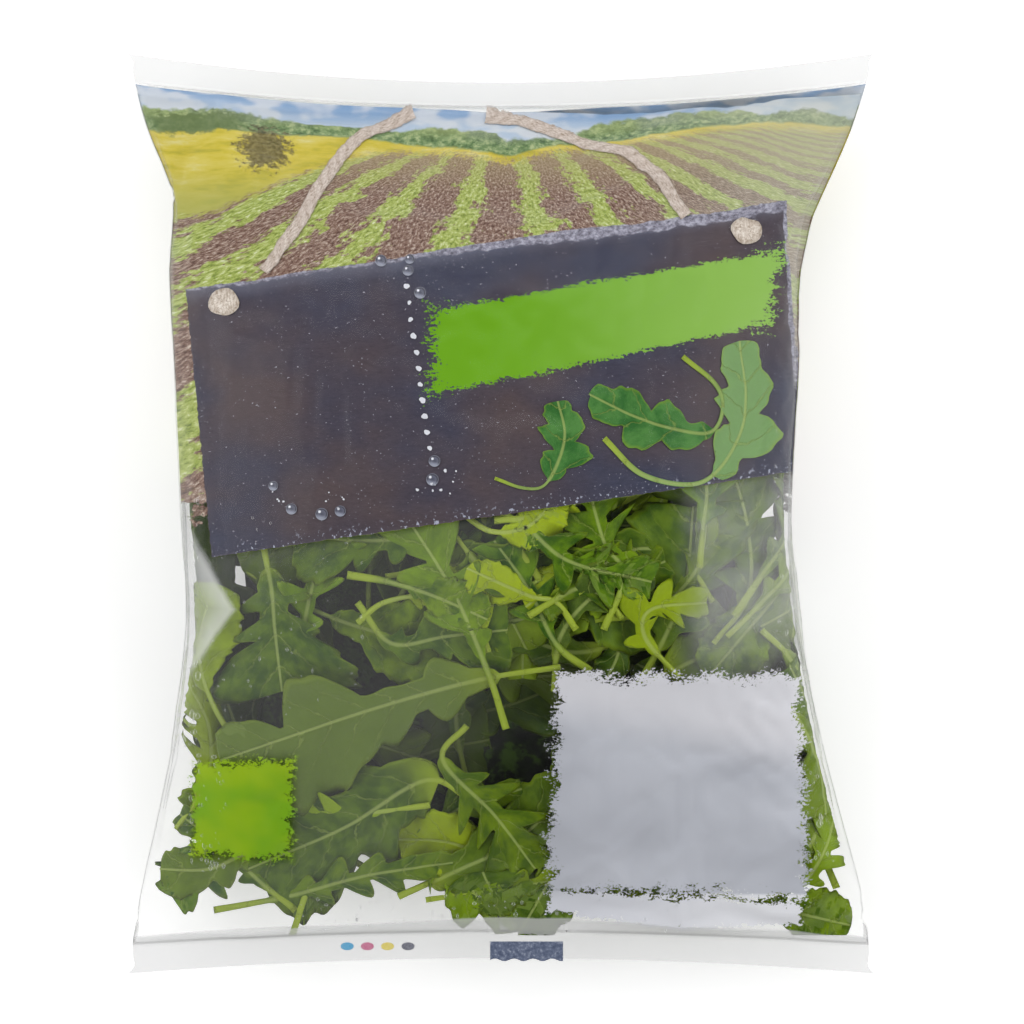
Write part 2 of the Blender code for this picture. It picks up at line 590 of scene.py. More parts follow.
def makeFilm():
    verts, places, flats, faces, number = [], [], [], [], {}

    def point(place, seenAt):
        key = tuple(np.round(place, 7))
        if key not in number:
            number[key] = len(verts)
            verts.append(place)
            places.append(seenAt)
        return number[key]

    def weave(grid, seenGrid, corner, size, turned):
        rows, columns = grid.shape[:2]
        index = [[point(grid[j, i], seenGrid[j, i]) for i in range(columns)] for j in range(rows)]
        for j in range(rows - 1):
            for i in range(columns - 1):
                ring = [(j, i), (j, i + 1), (j + 1, i + 1), (j + 1, i)]
                if turned:
                    ring.reverse()
                faces.append([index[b][a] for b, a in ring])
                for b, a in ring:
                    flats.append((corner[0] + size[0] * a / columns, corner[1] + size[1] * b / rows))

    weave(tube[1], seen[1], (0.01, 0.08), (0.48, 0.84), False)
    weave(tube[-1], seen[-1], (0.51, 0.08), (0.48, 0.84), True)
    for end, grid in tubeSeals.items():
        sealSeen = np.concatenate([asSeen(grid) / mm, np.full((*grid.shape[:2], 1), -1.0)], axis=-1)
        weave(grid, sealSeen, (0.01, 0.94 * end + 0.01), (0.48, 0.04), not end)
    piece = newPiece("film", verts, faces, filmFinish())
    piece.data.uv_layers.new(name="OFBake").data.foreach_set("uv", np.array(flats).ravel())
    store(piece, "seen", places)
    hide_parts(bagNode)
    print("film", len(faces) * 2, "triangles")


makeFilm()

# the print: a ploughed field under hills, with a slate board hung in front
field = {
    "vanishing": (1.8, 123.9),
    "rowSpacing": 0.59,
    "rowShift": 0.24,
    "rowWidth": 0.20,
    "printEnd": 8.0,
    "hills": ((-110, 112.2), (-44, 110.7), (-29, 109.2), (2.6, 104.9), (17, 108.4), (40, 110.1), (64, 112.8),
              (87, 113.9), (110, 112.8)),
    "treeTops": ((-110, 119.0), (-79, 117.5), (-59, 115.7), (-43, 114.2), (-6, 112.8), (2, 109.5),
                 (20, 111.5), (29, 115.8), (40, 117.5), (70, 118.2), (78, 115.2), (88, 118.4), (104, 115.8)),
}
board = {
    "corners": [(-84.6, -12.4), (88.3, 12.7), (84.5, 91.7), (-92.4, 65.4)],
    "bandCorners": [(-19.9, 35.2), (78.7, 55.1), (83.1, 77.1), (-19.3, 59.5)],
    "bevel": 3.4,
}


def profile(finish, x, points, base=100.0, span=20.0):  # a height that follows a few points across
    stops = [((place + 110.0) / 220.0, ((height - base) / span,) * 3) for place, height in points]
    share = finish.node("ShaderNodeValToRGB", {"stops": stops}, {0: (x + 110.0) / 220.0})
    return share * span + base


def landscape(finish, x, y, below):
    sky = finish.mix(finish.step(below, 0.0, 7.0), linear(112, 152, 198), linear(186, 204, 224))
    cloud = finish.step(finish.noise(12.0, stretch=(1.0, 2.2, 1.0)), 0.42, 0.60)
    sky = finish.mix(cloud * 0.65, sky, linear(226, 228, 230))
    hills = profile(finish, x, field["hills"])
    treeTops = profile(finish, x, field["treeTops"]) + 4.4 * finish.noise(4.5, detail=4.0) - 2.2
    lumps = finish.noise(2.4, detail=5.0, rough=0.72)
    trees = finish.ramp(
        lumps, (0.36, linear(72, 100, 60)), (0.5, linear(118, 146, 96)), (0.64, linear(178, 192, 140)),
    )
    patches = finish.step(finish.noise(22.0), 0.45, 0.6)
    far = finish.mix(patches, linear(172, 184, 118), linear(150, 158, 134))
    trees = finish.mix(finish.step(y, hills + 1.5, hills + 5.5) * 0.45, trees, far)
    scenery = finish.mix(finish.step(y, treeTops + 0.5, treeTops - 0.5), sky, trees)
    # the yellow field, wide on the left and a thin line elsewhere
    meadow = finish.ramp(
        finish.noise(7.0, detail=6.0, rough=0.65, stretch=(0.4, 1.6, 1.0)),
        (0.32, linear(176, 168, 54)), (0.46, linear(212, 194, 66)), (0.58, linear(220, 204, 96)),
        (0.7, linear(226, 218, 156)),
    )
    meadow = finish.mix(finish.step(y, 104.0, 88.0) * 0.75, meadow, linear(166, 172, 92))
    scenery = finish.mix(finish.step(y + (lumps - 0.5) * 2.0, hills + 0.5, hills - 0.5), scenery, meadow)
    # crop rows that meet at a point on the horizon
    farX, farY = field["vanishing"]
    depth = (farY - y).most(2.0)
    slant = (x - farX) / depth
    nearness = depth.maths("LOGARITHM", depth, math.e)
    tilted = finish.node("ShaderNodeCombineXYZ", sockets={0: slant, 1: nearness})
    leafy = finish.noise(0.055, tilted, detail=4.0, rough=0.65, stretch=(1.0, 1.4, 1.0))
    tufts = finish.noise(0.16, tilted, detail=2.0, shift=7.0)
    fromRow = depth.maths("PINGPONG", (slant - field["rowShift"]) / field["rowSpacing"] + 40.0, 0.5)
    width = field["rowWidth"] + 0.10 * finish.step(slant, -1.2, -2.6) + 0.08 * finish.step(slant, 1.6, 3.0)
    rows = finish.step(fromRow + (leafy - 0.5) * 0.8 + (tufts - 0.5) * 0.8, width + 0.04, width - 0.04)
    clods = finish.noise(0.022, tilted, detail=6.0, rough=0.8)
    soil = finish.ramp(
        clods, (0.38, linear(78, 52, 44)), (0.47, linear(122, 92, 80)), (0.54, linear(156, 130, 116)),
        (0.63, linear(216, 202, 188)),
    )
    crop = finish.ramp(
        finish.noise(0.03, tilted, detail=5.0, rough=0.75, shift=3.0),
        (0.36, linear(104, 122, 50)), (0.46, linear(154, 170, 80)), (0.56, linear(188, 200, 116)),
        (0.66, linear(230, 234, 204)),
    )
    ground = finish.mix(rows, soil, crop)
    ground = finish.mix(finish.step(y, 92.0, 108.0) * 0.45, ground, linear(184, 172, 122))
    edge = hills - 1.2 - finish.step(x, -20.0, -100.0) * 24.0 + 8.0 * (leafy - 0.5)
    scenery = finish.mix(finish.step(y, edge + 1.0, edge - 2.0), scenery, ground)
    # a bush in the yellow field, and the trees at its top left
    bushX, bushY = (x + 69.0) / 8.4, (y - 106.5) / 7.6
    twigs = finish.noise(2.2, detail=5.0, rough=0.75) - 0.5
    bushRound = (bushX * bushX + bushY * bushY) ** 0.5 + twigs * 2.4
    bush = finish.noise(1.3, detail=5.0)
    bush = finish.ramp(bush, (0.4, linear(70, 60, 44)), (0.62, linear(124, 114, 80)))
    scenery = finish.mix(finish.step(bushRound, 1.05, 0.7) * 0.85, scenery, bush)
    grove = finish.step(abs(y - 114.2 + (lumps - 0.5) * 7.0), 3.4, 2.0) * finish.step(x, -70.0, -80.0)
    scenery = finish.mix(grove * finish.step(x, -106.0, -98.0) * 0.8, scenery, linear(104, 122, 76))
    # painted light: the print made paler at the far right, where the film lifts off the leaves
    return finish.mix(finish.step(x, 30.0, 96.0) * 0.42, scenery, linear(206, 208, 192))


def slate(finish, x, y, scenery):
    depth = finish.inside(x, y, board["corners"])
    chips = finish.noise(2.6, detail=5.0, rough=0.7)
    mask = finish.step(depth + (chips - 0.5) * 1.3, -0.12, 0.12)
    blotch = finish.noise(46.0, detail=3.0)
    stone = finish.ramp(
        blotch, (0.36, linear(84, 72, 74)), (0.5, linear(72, 66, 76)), (0.64, linear(62, 64, 82)),
    )
    grain = finish.noise(1.1, detail=5.0, rough=0.75, stretch=(0.55, 1.5, 1.0))
    grain = finish.ramp(grain, (0.25, (0.28, 0.28, 0.3)), (0.75, (0.72, 0.72, 0.74)))
    stone = finish.mix(0.55, stone, grain, "OVERLAY")
    speck = finish.step(finish.noise(0.8, detail=2.0, shift=9.0), 0.69, 0.74)
    stone = finish.mix(speck * 0.7, stone, linear(178, 178, 190))
    lowLeft, lowRight, topRight, topLeft = board["corners"]
    fromFoot = finish.beside(x, y, lowLeft, lowRight)
    fromRight = finish.beside(x, y, lowRight, topRight)
    fromTop = finish.beside(x, y, topRight, topLeft)
    ragged = (finish.noise(5.0, detail=5.0, rough=0.65, shift=4.0) - 0.5) * 3.6
    width = board["bevel"] * (0.35 + 0.65 * finish.step(x, -40.0, 30.0))
    bevel = finish.step(fromTop + ragged, width, width - 0.8)
    bevel = bevel.most(finish.step(fromRight * 2.4 + ragged, board["bevel"], board["bevel"] - 0.8))
    edge = finish.ramp(
        finish.noise(1.6, detail=5.0, rough=0.7, shift=2.0),
        (0.36, linear(96, 94, 106)), (0.5, linear(146, 144, 160)), (0.64, linear(190, 190, 206)),
    )
    stone = finish.mix(finish.step(fromTop + ragged * 0.5, 6.0, 0.5) * 0.42, stone, linear(122, 124, 140))
    stone = finish.mix(bevel * 0.9, stone, edge)
    flecks = finish.step(finish.noise(1.5, detail=3.0, shift=6.0, stretch=(1.6, 0.8, 1.0)), 0.60, 0.66)
    stone = finish.mix(flecks * finish.step(fromFoot, 4.2, 0.4) * 0.8, stone, linear(190, 196, 216))
    # the brushed green band
    band = finish.inside(x, y, board["bandCorners"])
    bristle = finish.noise(3.6, detail=5.0, rough=0.72, shift=5.0, stretch=(0.5, 1.9, 1.0)) - 0.5
    fine = finish.noise(1.0, detail=4.0, rough=0.7, shift=8.0) - 0.5
    ends = finish.step(abs(x - 30.0), 40.0, 50.0)
    paint = finish.step(band + (bristle * 12.0 + fine * 14.0) * (0.42 + 0.9 * ends), -0.1, 0.1)
    green = finish.mix(finish.step(x, -5.0, 80.0), linear(108, 168, 6), linear(142, 188, 84))
    stone = finish.mix(paint, stone, green)
    return finish.mix(mask, scenery, stone), mask


def fieldFinish(name, withBoard):
    finish = Finish(name, roughness=0.55, specular=0.25)
    x, y, below = finish.place("seen")
    scenery = landscape(finish, x, y, below)
    wander = finish.noise(16.0, detail=4.0, rough=0.6)
    ending = field["printEnd"] + (wander - 0.5) * 34.0 - 6.0 * finish.step(x, 0.0, -90.0)
    shown = finish.step(y, ending - 9.0, ending + 5.0)
    shown = finish.step(shown + (finish.noise(2.2, detail=4.0) - 0.5) * 0.7, 0.42, 0.58) * 0.94
    topEdge = (x + 30.0).most(0.0) * 0.020 + 0.3
    shown = shown * finish.step(below, topEdge, topEdge + 0.3) * finish.step(y - 0.145 * x, -1.0, 3.0)
    if withBoard:
        scenery, mask = slate(finish, x, y, scenery)
        shown = shown.most(mask)
    finish.feed(colour=scenery)
    finish.seeThrough(shown)
    return finish.material


sheet("print_front", 1, lambda x, y, below: y > -18.0, 0.42 * mm, fieldFinish("front print", True))
sheet("print_back", -1, lambda x, y, below: y > -14.0, 0.25 * mm, fieldFinish("back print", False))
print("field and board printed")

# the printed label, its strip and the corner patch
label = {
    "corners": [(14.4, -110.4), (88.4, -111.6), (87.4, -47.8), (16.6, -46.4)],
    "strip": [(13.6, -117.4), (50.0, -121.2), (87.6, -120.6), (87.8, -113.4), (14.0, -110.8)],
    "patch": [(-89.6, -98.8), (-61.6, -99.4), (-61.0, -71.6), (-89.0, -73.2)],
}


def labelFinish():
    finish = Finish("label print", roughness=0.5, specular=0.25)
    x, y, below = finish.place("seen")
    rough = finish.noise(3.0, detail=5.0, rough=0.72) - 0.5
    fine = finish.noise(0.9, detail=4.0, rough=0.7, shift=4.0) - 0.5
    coarse = finish.noise(11.0, detail=2.0, shift=3.0) - 0.5
    panel = finish.inside(x, y, label["corners"]) + coarse * 9.0 + rough * 6.0 + fine * 15.0
    panel = finish.step(panel, -0.1, 0.1)
    strip = finish.inside(x, y, label["strip"]) + rough * 7.0 + fine * 5.0
    strip = finish.step(strip, -0.1, 0.1)
    soft = finish.noise(40.0, detail=2.0, shift=1.0)
    grey = finish.ramp(soft, (0.35, linear(180, 183, 192)), (0.65, linear(202, 205, 214)))
    grey = finish.mix(finish.step(y + 0.2 * x, -62.0, -46.0), grey, linear(222, 222, 228))
    white = finish.mix(finish.step(x, 10.0, 80.0), linear(212, 214, 222), linear(232, 233, 238))
    finish.feed(colour=finish.mix(finish.step(y, -110.4, -111.4), grey, white))
    finish.seeThrough(panel.most(strip))
    return finish.material


def patchFinish():
    finish = Finish("corner patch print", roughness=0.5, specular=0.25)
    x, y, below = finish.place("seen")
    rough = finish.noise(2.8, detail=5.0, rough=0.72, shift=2.0) - 0.5
    fine = finish.noise(0.8, detail=4.0, rough=0.7, shift=6.0) - 0.5
    patch = finish.step(finish.inside(x, y, label["patch"]) + rough * 12.0 + fine * 11.0, -0.1, 0.1)
    tone = finish.noise(18.0, detail=2.0)
    finish.feed(colour=finish.ramp(tone, (0.35, linear(118, 168, 0)), (0.65, linear(152, 186, 2))))
    finish.seeThrough(patch)
    return finish.material


sheet("print_label", 1, lambda x, y, below: 11 < x < 92 and y < -44, 0.12 * mm, labelFinish())
sheet("print_patch", 1, lambda x, y, below: x < -56 and -104 < y < -66, 0.12 * mm, patchFinish())
print("labels printed")

# rocket leaves
leaf = {
    "stations": 84,
    "ring": (0.0, 0.09, 0.34, 0.62, 0.85, 1.0),
    "bladeThickness": 0.34 * mm,
    "stalkThickness": 1.9 * mm,
    "clearance": 1.1 * mm,
    "sideClearance": 2.0 * mm,
    "endClearance": 3.0 * mm,
    "ruffle": 1.9 * mm,
    "roll": 0.8 * mm,
}
# the lobes of each side: where along the blade, how long and how far out, all as shares
leafKinds = {
    "splayed": {"stalk": 0.17, "sweep": 0.30, "web": 0.20,
                "left": ((0.70, 0.31, 1.00), (0.37, 0.085, 0.58), (0.17, 0.075, 0.40)),
                "right": ((0.90, 0.14, 0.50), (0.58, 0.15, 0.86), (0.15, 0.10, 0.38))},
    "deep": {"stalk": 0.30, "sweep": 0.55, "web": 0.19,
             "left": ((0.84, 0.20, 0.66), (0.50, 0.11, 0.94), (0.24, 0.08, 0.85)),
             "right": ((0.86, 0.17, 0.60), (0.62, 0.10, 1.00), (0.35, 0.09, 0.84), (0.12, 0.06, 0.50))},
    "lyre": {"stalk": 0.22, "sweep": 0.35, "web": 0.20,
             "left": ((0.72, 0.28, 0.94), (0.38, 0.10, 0.72), (0.16, 0.08, 0.45)),
             "right": ((0.76, 0.26, 1.00), (0.44, 0.09, 0.60), (0.22, 0.09, 0.58))},
    "young": {"stalk": 0.42, "sweep": 0.10, "web": 0.30,
              "left": ((0.60, 0.43, 1.00),), "right": ((0.58, 0.44, 0.92), (0.10, 0.08, 0.35))},
    "narrow": {"stalk": 0.22, "sweep": 0.60, "web": 0.24,
               "left": ((0.82, 0.21, 0.55), (0.56, 0.08, 0.95), (0.37, 0.08, 1.00), (0.19, 0.06, 0.70)),
               "right": ((0.84, 0.19, 0.60), (0.64, 0.08, 1.00), (0.46, 0.07, 0.90), (0.27, 0.06, 0.80))},
    "toothed": {"stalk": 0.16, "sweep": 0.35, "web": 0.46,
                "left": ((0.70, 0.27, 0.96), (0.36, 0.13, 0.86), (0.13, 0.09, 0.55)),
                "right": ((0.76, 0.23, 0.90), (0.50, 0.13, 1.00), (0.24, 0.11, 0.72))},
}
heaps = {kind: [] for kind in leafKinds}


def halfWidths(kind, side, rng, blade):  # along one side of a leaf, as shares of its full half width
    shape = leafKinds[kind]
    total = np.zeros_like(blade)
    for place, length, out in shape[side]:
        blunt = 2.0 if length > 0.16 else 1.6
        place, length = place + rng.uniform(-0.025, 0.025), length * rng.uniform(0.9, 1.15)
        near = np.clip(1 - np.abs((blade - place) / length) ** blunt, 0, 1) ** (1.15 / blunt)
        total += (near * out * rng.uniform(0.8, 1.1)) ** 5
    web = shape["web"] * np.sin(np.pi * blade ** 0.6) ** 0.5
    teeth = 1 + 0.045 * np.sin(blade * 43 + rng.uniform(0, 6))
    teeth += 0.03 * np.sin(blade * 71 + rng.uniform(0, 6))
    return np.maximum(total ** 0.2, web) * teeth * (blade > 0)


def curve(points, count):  # a smooth line through a few points, evenly spaced
    points = np.array(points, dtype=float)
    ends = np.vstack([2 * points[0] - points[1], points, 2 * points[-1] - points[-2]])
    samples = []
    for a, b, c, d in zip(ends, ends[1:], ends[2:], ends[3:]):
        for t in np.linspace(0, 1, 24, endpoint=False):
            samples.append(0.5 * (2 * b + (c - a) * t + (2 * a - 5 * b + 4 * c - d) * t * t
                                  + (3 * b - a - 3 * c + d) * t ** 3))
    samples = np.array(samples + [points[-1]])
    walked = np.concatenate([[0], np.cumsum(np.linalg.norm(np.diff(samples, axis=0), axis=1))])
    marks = np.linspace(0, walked[-1], count)
    line = [np.interp(marks, walked, samples[:, axis]) for axis in range(samples.shape[1])]
    return np.stack(line, axis=1), walked[-1]


def growLeaf(kind, path, width, depth, rng, layer=1.0, lift=0.0, ruffle=1.0, cup=0.0, steady=False):
    # path runs from the cut stalk to the tip, in millimetres; layer is 1 under the front, 0 over the back
    count = leaf["stations"]
    path = np.array(path) * mm
    if steady:  # given as it looks from above
        path = asPlaced(path, surfaces(path[:, 0], path[:, 1])[1] - depth * mm)
    line, length = curve(path, count)
    stations = np.linspace(0, 1, count)
    heading = np.gradient(line, axis=0)
    heading /= np.linalg.norm(heading, axis=1)[:, None]
    outward = np.stack([heading[:, 1], -heading[:, 0]], axis=1)
    shape = leafKinds[kind]
    blade = np.clip((stations - shape["stalk"]) / (1 - shape["stalk"]), 0, 1)
    stalkHalf = rng.uniform(0.8, 1.2) * mm * (1 - 0.65 * stations)
    tip = np.clip((1 - stations) / 0.035, 0, 1) ** 0.5
    halves = []
    for side in ("left", "right") if rng.random() < 0.5 or steady else ("right", "left"):
        half = halfWidths(kind, side, rng, blade) * width * mm / 2
        halves.append(np.maximum(half, stalkHalf * (1 - blade ** 3)) * tip)
    phases = [rng.uniform(0, 6.3) for k in range(5)]
    waves = [rng.uniform(2.5, 4.5), rng.uniform(2.5, 4.5)]
    crossing = [-s for s in leaf["ring"][::-1]] + list(leaf["ring"][1:])
    top, under = [], []
    for s in crossing:
        half = halves[0] if s < 0 else halves[1]
        aside = s * half
        forward = shape["sweep"] * abs(s) ** 1.3 * half * np.clip(blade * 4, 0, 1)
        x = line[:, 0] + outward[:, 0] * aside + heading[:, 0] * forward
        y = line[:, 1] + outward[:, 1] * aside + heading[:, 1] * forward
        wave = np.sin(2 * np.pi * waves[int(s > 0)] * stations + phases[int(s > 0)])
        rise = ruffle * leaf["ruffle"] * abs(s) ** 1.4 * wave * np.clip(half / (8 * mm), 0, 1)
        rise += cup * np.abs(aside) ** 1.25 / (6 * mm) ** 0.25
        rise += lift * mm * np.sin(np.pi * stations + 0.4 * np.sin(phases[2]))
        rise += leaf["roll"] * np.sin(4 * stations + phases[3]) * ruffle
        rounded = math.sqrt(max(0.0, 1 - s * s))
        ridge = np.exp(-(aside / mm) ** 2) * (0.75 - 0.55 * stations) * mm
        stalkRound = leaf["stalkThickness"] / 2 * rounded * (1 - 0.4 * stations)
        thick = np.where(blade <= 0.0, stalkRound, leaf["bladeThickness"] / 2 * rounded ** 0.5)
        blend = np.clip(blade * 6, 0, 1)
        thick = stalkRound * (1 - blend) + thick * blend
        rim = np.full(count, abs(s))
        top.append((x, y, rise + thick + 0.35 * ridge * blend, aside, stations * length, rim))
        under.append((x, y, rise - thick - ridge * blend, aside, stations * length, rim + 2.0))
    ring = top + under[-2:0:-1]
    data = np.array([[column[k] for column in ring] for k in range(6)])  # value, ring place, station
    x, y, rise = data[0], data[1], data[2]
    left, right = sides(y)
    gap = leaf["sideClearance"]
    over = np.maximum(0, x - (right - gap)) - np.maximum(0, (left + gap) - x)
    x = x - over * 1.25
    endGap = film["sealDepth"] + leaf["endClearance"]
    y = np.clip(y, low.y + endGap, high.y - endGap - film["topDip"])
    back, front = surfaces(x, y)
    room = front - back
    settled = back + room * layer
    z = settled + np.where(layer > 0.5, -depth * mm, depth * mm) + rise - np.abs(over) * 0.5
    margin = np.minimum(leaf["clearance"], room * 0.3)
    z = np.clip(z, back + margin, np.maximum(front - margin, back + margin))
    # how far each point lies inside the heap from the film, in mm, which the leaf finish turns into painted
    # shade
    inside = np.minimum(front - z, z - back) / mm
    heaps[kind].append((x, y, z, data[3], data[4], data[5], inside, rng.random()))


def gatherLeaves(kind, finish):
    verts, faces, places, traits, flats = [], [], [], [], []
    perRow = math.ceil(math.sqrt(len(heaps[kind])))
    for number, (x, y, z, aside, forward, rim, inside, tone) in enumerate(heaps[kind]):
        ringCount, stationCount = x.shape
        start = len(verts)
        cellX, cellY = number % perRow, number // perRow
        for r in range(ringCount):
            for k in range(stationCount):
                verts.append((x[r, k], y[r, k], z[r, k]))
                places.append((aside[r, k] / mm, forward[r, k] / mm, rim[r, k]))
                traits.append((tone, k / (stationCount - 1), inside[r, k]))
                flats.append(((cellX + 0.04 + 0.92 * r / ringCount) / perRow,
                              (cellY + 0.03 + 0.94 * k / (stationCount - 1)) / perRow))
        for r in range(ringCount):
            other = (r + 1) % ringCount
            for k in range(stationCount - 1):
                faces.append((start + r * stationCount + k, start + other * stationCount + k,
                              start + other * stationCount + k + 1, start + r * stationCount + k + 1))
        for k, order in ((0, 1), (stationCount - 1, -1)):
            faces.append([start + r * stationCount + k for r in range(ringCount)][::order])
    piece = newPiece("leaves_" + kind, verts, faces, finish)
    store(piece, "blade", places)
    store(piece, "trait", traits)
    layOut(piece, flats)
    return piece


def leafFinish(name, dark, main, pale):
    finish = Finish(name, roughness=0.42, specular=0.16)
    aside, forward, rim = finish.place("blade")
    trait = finish.stored("trait")
    tone, share, inside = finish.split(trait)
    apart = {0: trait, 1: (91.0, 0.0, 0.0), 2: finish.where}  # a different pattern on each leaf
    shifted = finish.node("ShaderNodeVectorMath", {"operation": "MULTIPLY_ADD"}, apart)
    mottled = finish.noise(6.0, shifted, detail=5.0, rough=0.6)
    fine = finish.noise(0.8, shifted, detail=3.0, rough=0.65)
    out = abs(aside)
    # side veins leave the midrib and bend towards the tip
    along = forward - out * 0.75 + (mottled - 0.5) * 9.0
    vein = out.maths("PINGPONG", along / 9.5 + 20.0, 0.5) * 9.5
    veins = finish.step(vein, 0.5, 0.1) * finish.step(out, 15.0, 1.0)
    midrib = finish.step(out, 1.15 - 0.75 * share, 0.2)
    stalk = finish.step(share, 0.32, 0.12)
    under = finish.step(rim, 1.4, 1.8)
    edge = finish.step(rim, 0.84, 1.0) * (1.0 - under)
    green = finish.mix(finish.step(mottled, 0.34, 0.66), dark, main)
    green = finish.mix(finish.step(tone, 0.35, 1.0) * 0.8, green, pale)
    green = finish.mix(0.35, green, finish.ramp(fine, (0.3, (0.38,) * 3), (0.7, (0.62,) * 3)), "OVERLAY")
    # painted highlight: a bright yellow-green margin along the leaf edges, part of the picture on the
    # printed leaves
    green = finish.mix(edge * 0.32, green, linear(150, 172, 40))
    green = finish.mix(under * 0.35, green, linear(128, 150, 72))
    green = finish.mix(veins * 0.34, green, linear(160, 178, 86))
    green = finish.mix(midrib * 0.55, green, linear(172, 188, 108))
    green = finish.mix(stalk * 0.75, green, linear(158, 178, 50))
    # painted shade: points deep inside the heap darkened towards near-black
    green = finish.mix(finish.step(inside, 3.5, 15.0) * 0.68, green, (0.012, 0.018, 0.005))
    finish.feed(colour=green, roughness=0.36 + 0.2 * mottled)
    relief = 0.8 * mottled - 0.8 * veins - 0.5 * midrib + 0.2 * fine
    finish.bump(relief, 0.6 * mm, 0.7)
    return finish.material

# the leaves that lie against the front, each along its own midrib, from its cut stalk to its tip
frontLeaves = (
    ("splayed", ((17.4, -44.9), (-7, -48.8), (-38.6, -57.5), (-82, -72)), 46, 1.8),
    ("deep", ((1.5, -63), (-4, -46), (-14.5, -22), (-31, 4)), 27, 1.2),
    ("young", ((-45, -18), (-33, -20), (-20, -24), (-4, -31)), 15, 2.2),
    ("young", ((-42, -32), (-34, -26), (-20, -24), (-2, -27)), 22, 3.4),
    ("lyre", ((-70, -6), (-67, -22), (-66, -34), (-64, -52)), 44, 3.6),
    ("toothed", ((-8, -84), (-22, -78), (-46, -92), (-74, -104)), 42, 3.0),
    ("narrow", ((-10, -62), (-17, -72), (-2, -88), (10, -104)), 26, 2.4),
    ("lyre", ((-42, -26), (-32, -38), (-16, -36), (2, -34)), 26, 4.2),
    ("deep", ((58, -16), (59, -4), (60, 8), (57, 26)), 30, 2.0),
    ("narrow", ((68, -30), (76, -18), (84, -2), (87, 24)), 18, 1.6),
    ("narrow", ((66, -36), (76, -26), (84, -14), (90, 4)), 16, 2.4),
    ("lyre", ((62, -38), (72, -24), (72, -4), (66, 18)), 46, 5.0),
    ("deep", ((-8, 4), (6, -3), (20, -14), (44, -20)), 22, 1.6),
    ("deep", ((30, -34), (36, -18), (30, -8), (24, 14)), 28, 2.6),
    ("narrow", ((52, -48), (42, -36), (44, -28), (60, -26)), 17, 1.8),
    ("young", ((22, -34), (16, -26), (8, -24), (-10, -16)), 14, 2.0),
    ("young", ((-2, -2), (10, -1), (16, 3), (22, 12)), 10, 1.4),
    ("lyre", ((40, -50), (48, -36), (54, -20), (56, 2)), 38, 5.0),
    ("narrow", ((8, -30), (22, -22), (34, -20), (48, -14)), 22, 3.4),
    ("deep", ((26, -46), (16, -38), (8, -22), (-2, -8)), 22, 3.6),
    ("deep", ((-84, -76), (-84, -90), (-88, -102), (-96, -112)), 24, 4.0),
    ("narrow", ((-84, -116), (-62, -112), (-40, -106), (-14, -102)), 16, 3.2),
    ("narrow", ((-22, -113), (0, -110), (24, -106), (48, -102)), 16, 1.8),
    ("toothed", ((-30, -112), (-12, -104), (4, -96), (22, -80)), 26, 3.6),
    ("young", ((-74, -72), (-84, -56), (-88, -40), (-84, -20)), 26, 4.6),
    ("lyre", ((84, -94), (92, -78), (92, -62), (84, -44)), 34, 3.4),
    ("deep", ((78, -112), (88, -108), (94, -100), (98, -88)), 24, 3.0),
    ("young", ((60, -110), (74, -114), (88, -117), (102, -120)), 18, 4.0),
    ("toothed", ((-8, 16), (-30, 8), (-52, -2), (-78, -10)), 36, 6.0),
    ("lyre", ((-20, 4), (-26, -6), (-42, -8), (-60, -6)), 30, 4.8),
    ("toothed", ((-66, -96), (-76, -100), (-86, -104), (-100, -104)), 18, 3.0),
    ("narrow", ((-60, -116), (-70, -108), (-82, -97), (-94, -88)), 16, 4.4),
    ("lyre", ((80, -52), (88, -62), (93, -74), (95, -88)), 26, 2.4),
    ("toothed", ((84, -106), (91, -96), (95, -84), (95, -68)), 22, 4.0),
    ("lyre", ((76, -34), (84, -42), (90, -54), (91, -70)), 26, 4.6),
    ("toothed", ((40, -50), (54, -44), (70, -36), (86, -26)), 34, 6.0),
    ("young", ((88, -8), (80, -24), (72, -34), (60, -48)), 24, 7.2),
)
scattered = (  # how many, layer, depth, along, across as shares, length, width
    (46, 1.0, (6.0, 19.0), (-98, 88), (-0.84, 0.84), (48, 84), (20, 34)),
    (26, 1.0, (3.0, 10.0), (-42, 16), (-0.1, 0.62), (26, 50), (11, 20)),
    (10, 1.0, (4.0, 9.0), (-102, -84), (-0.7, 0.8), (34, 56), (14, 24)),
    (42, 0.0, (1.2, 12.0), (-96, 92), (-0.84, 0.84), (48, 88), (20, 34)),
    (32, None, (0.0, 0.0), (-84, 74), (-0.92, 0.92), (44, 78), (18, 32)),
)


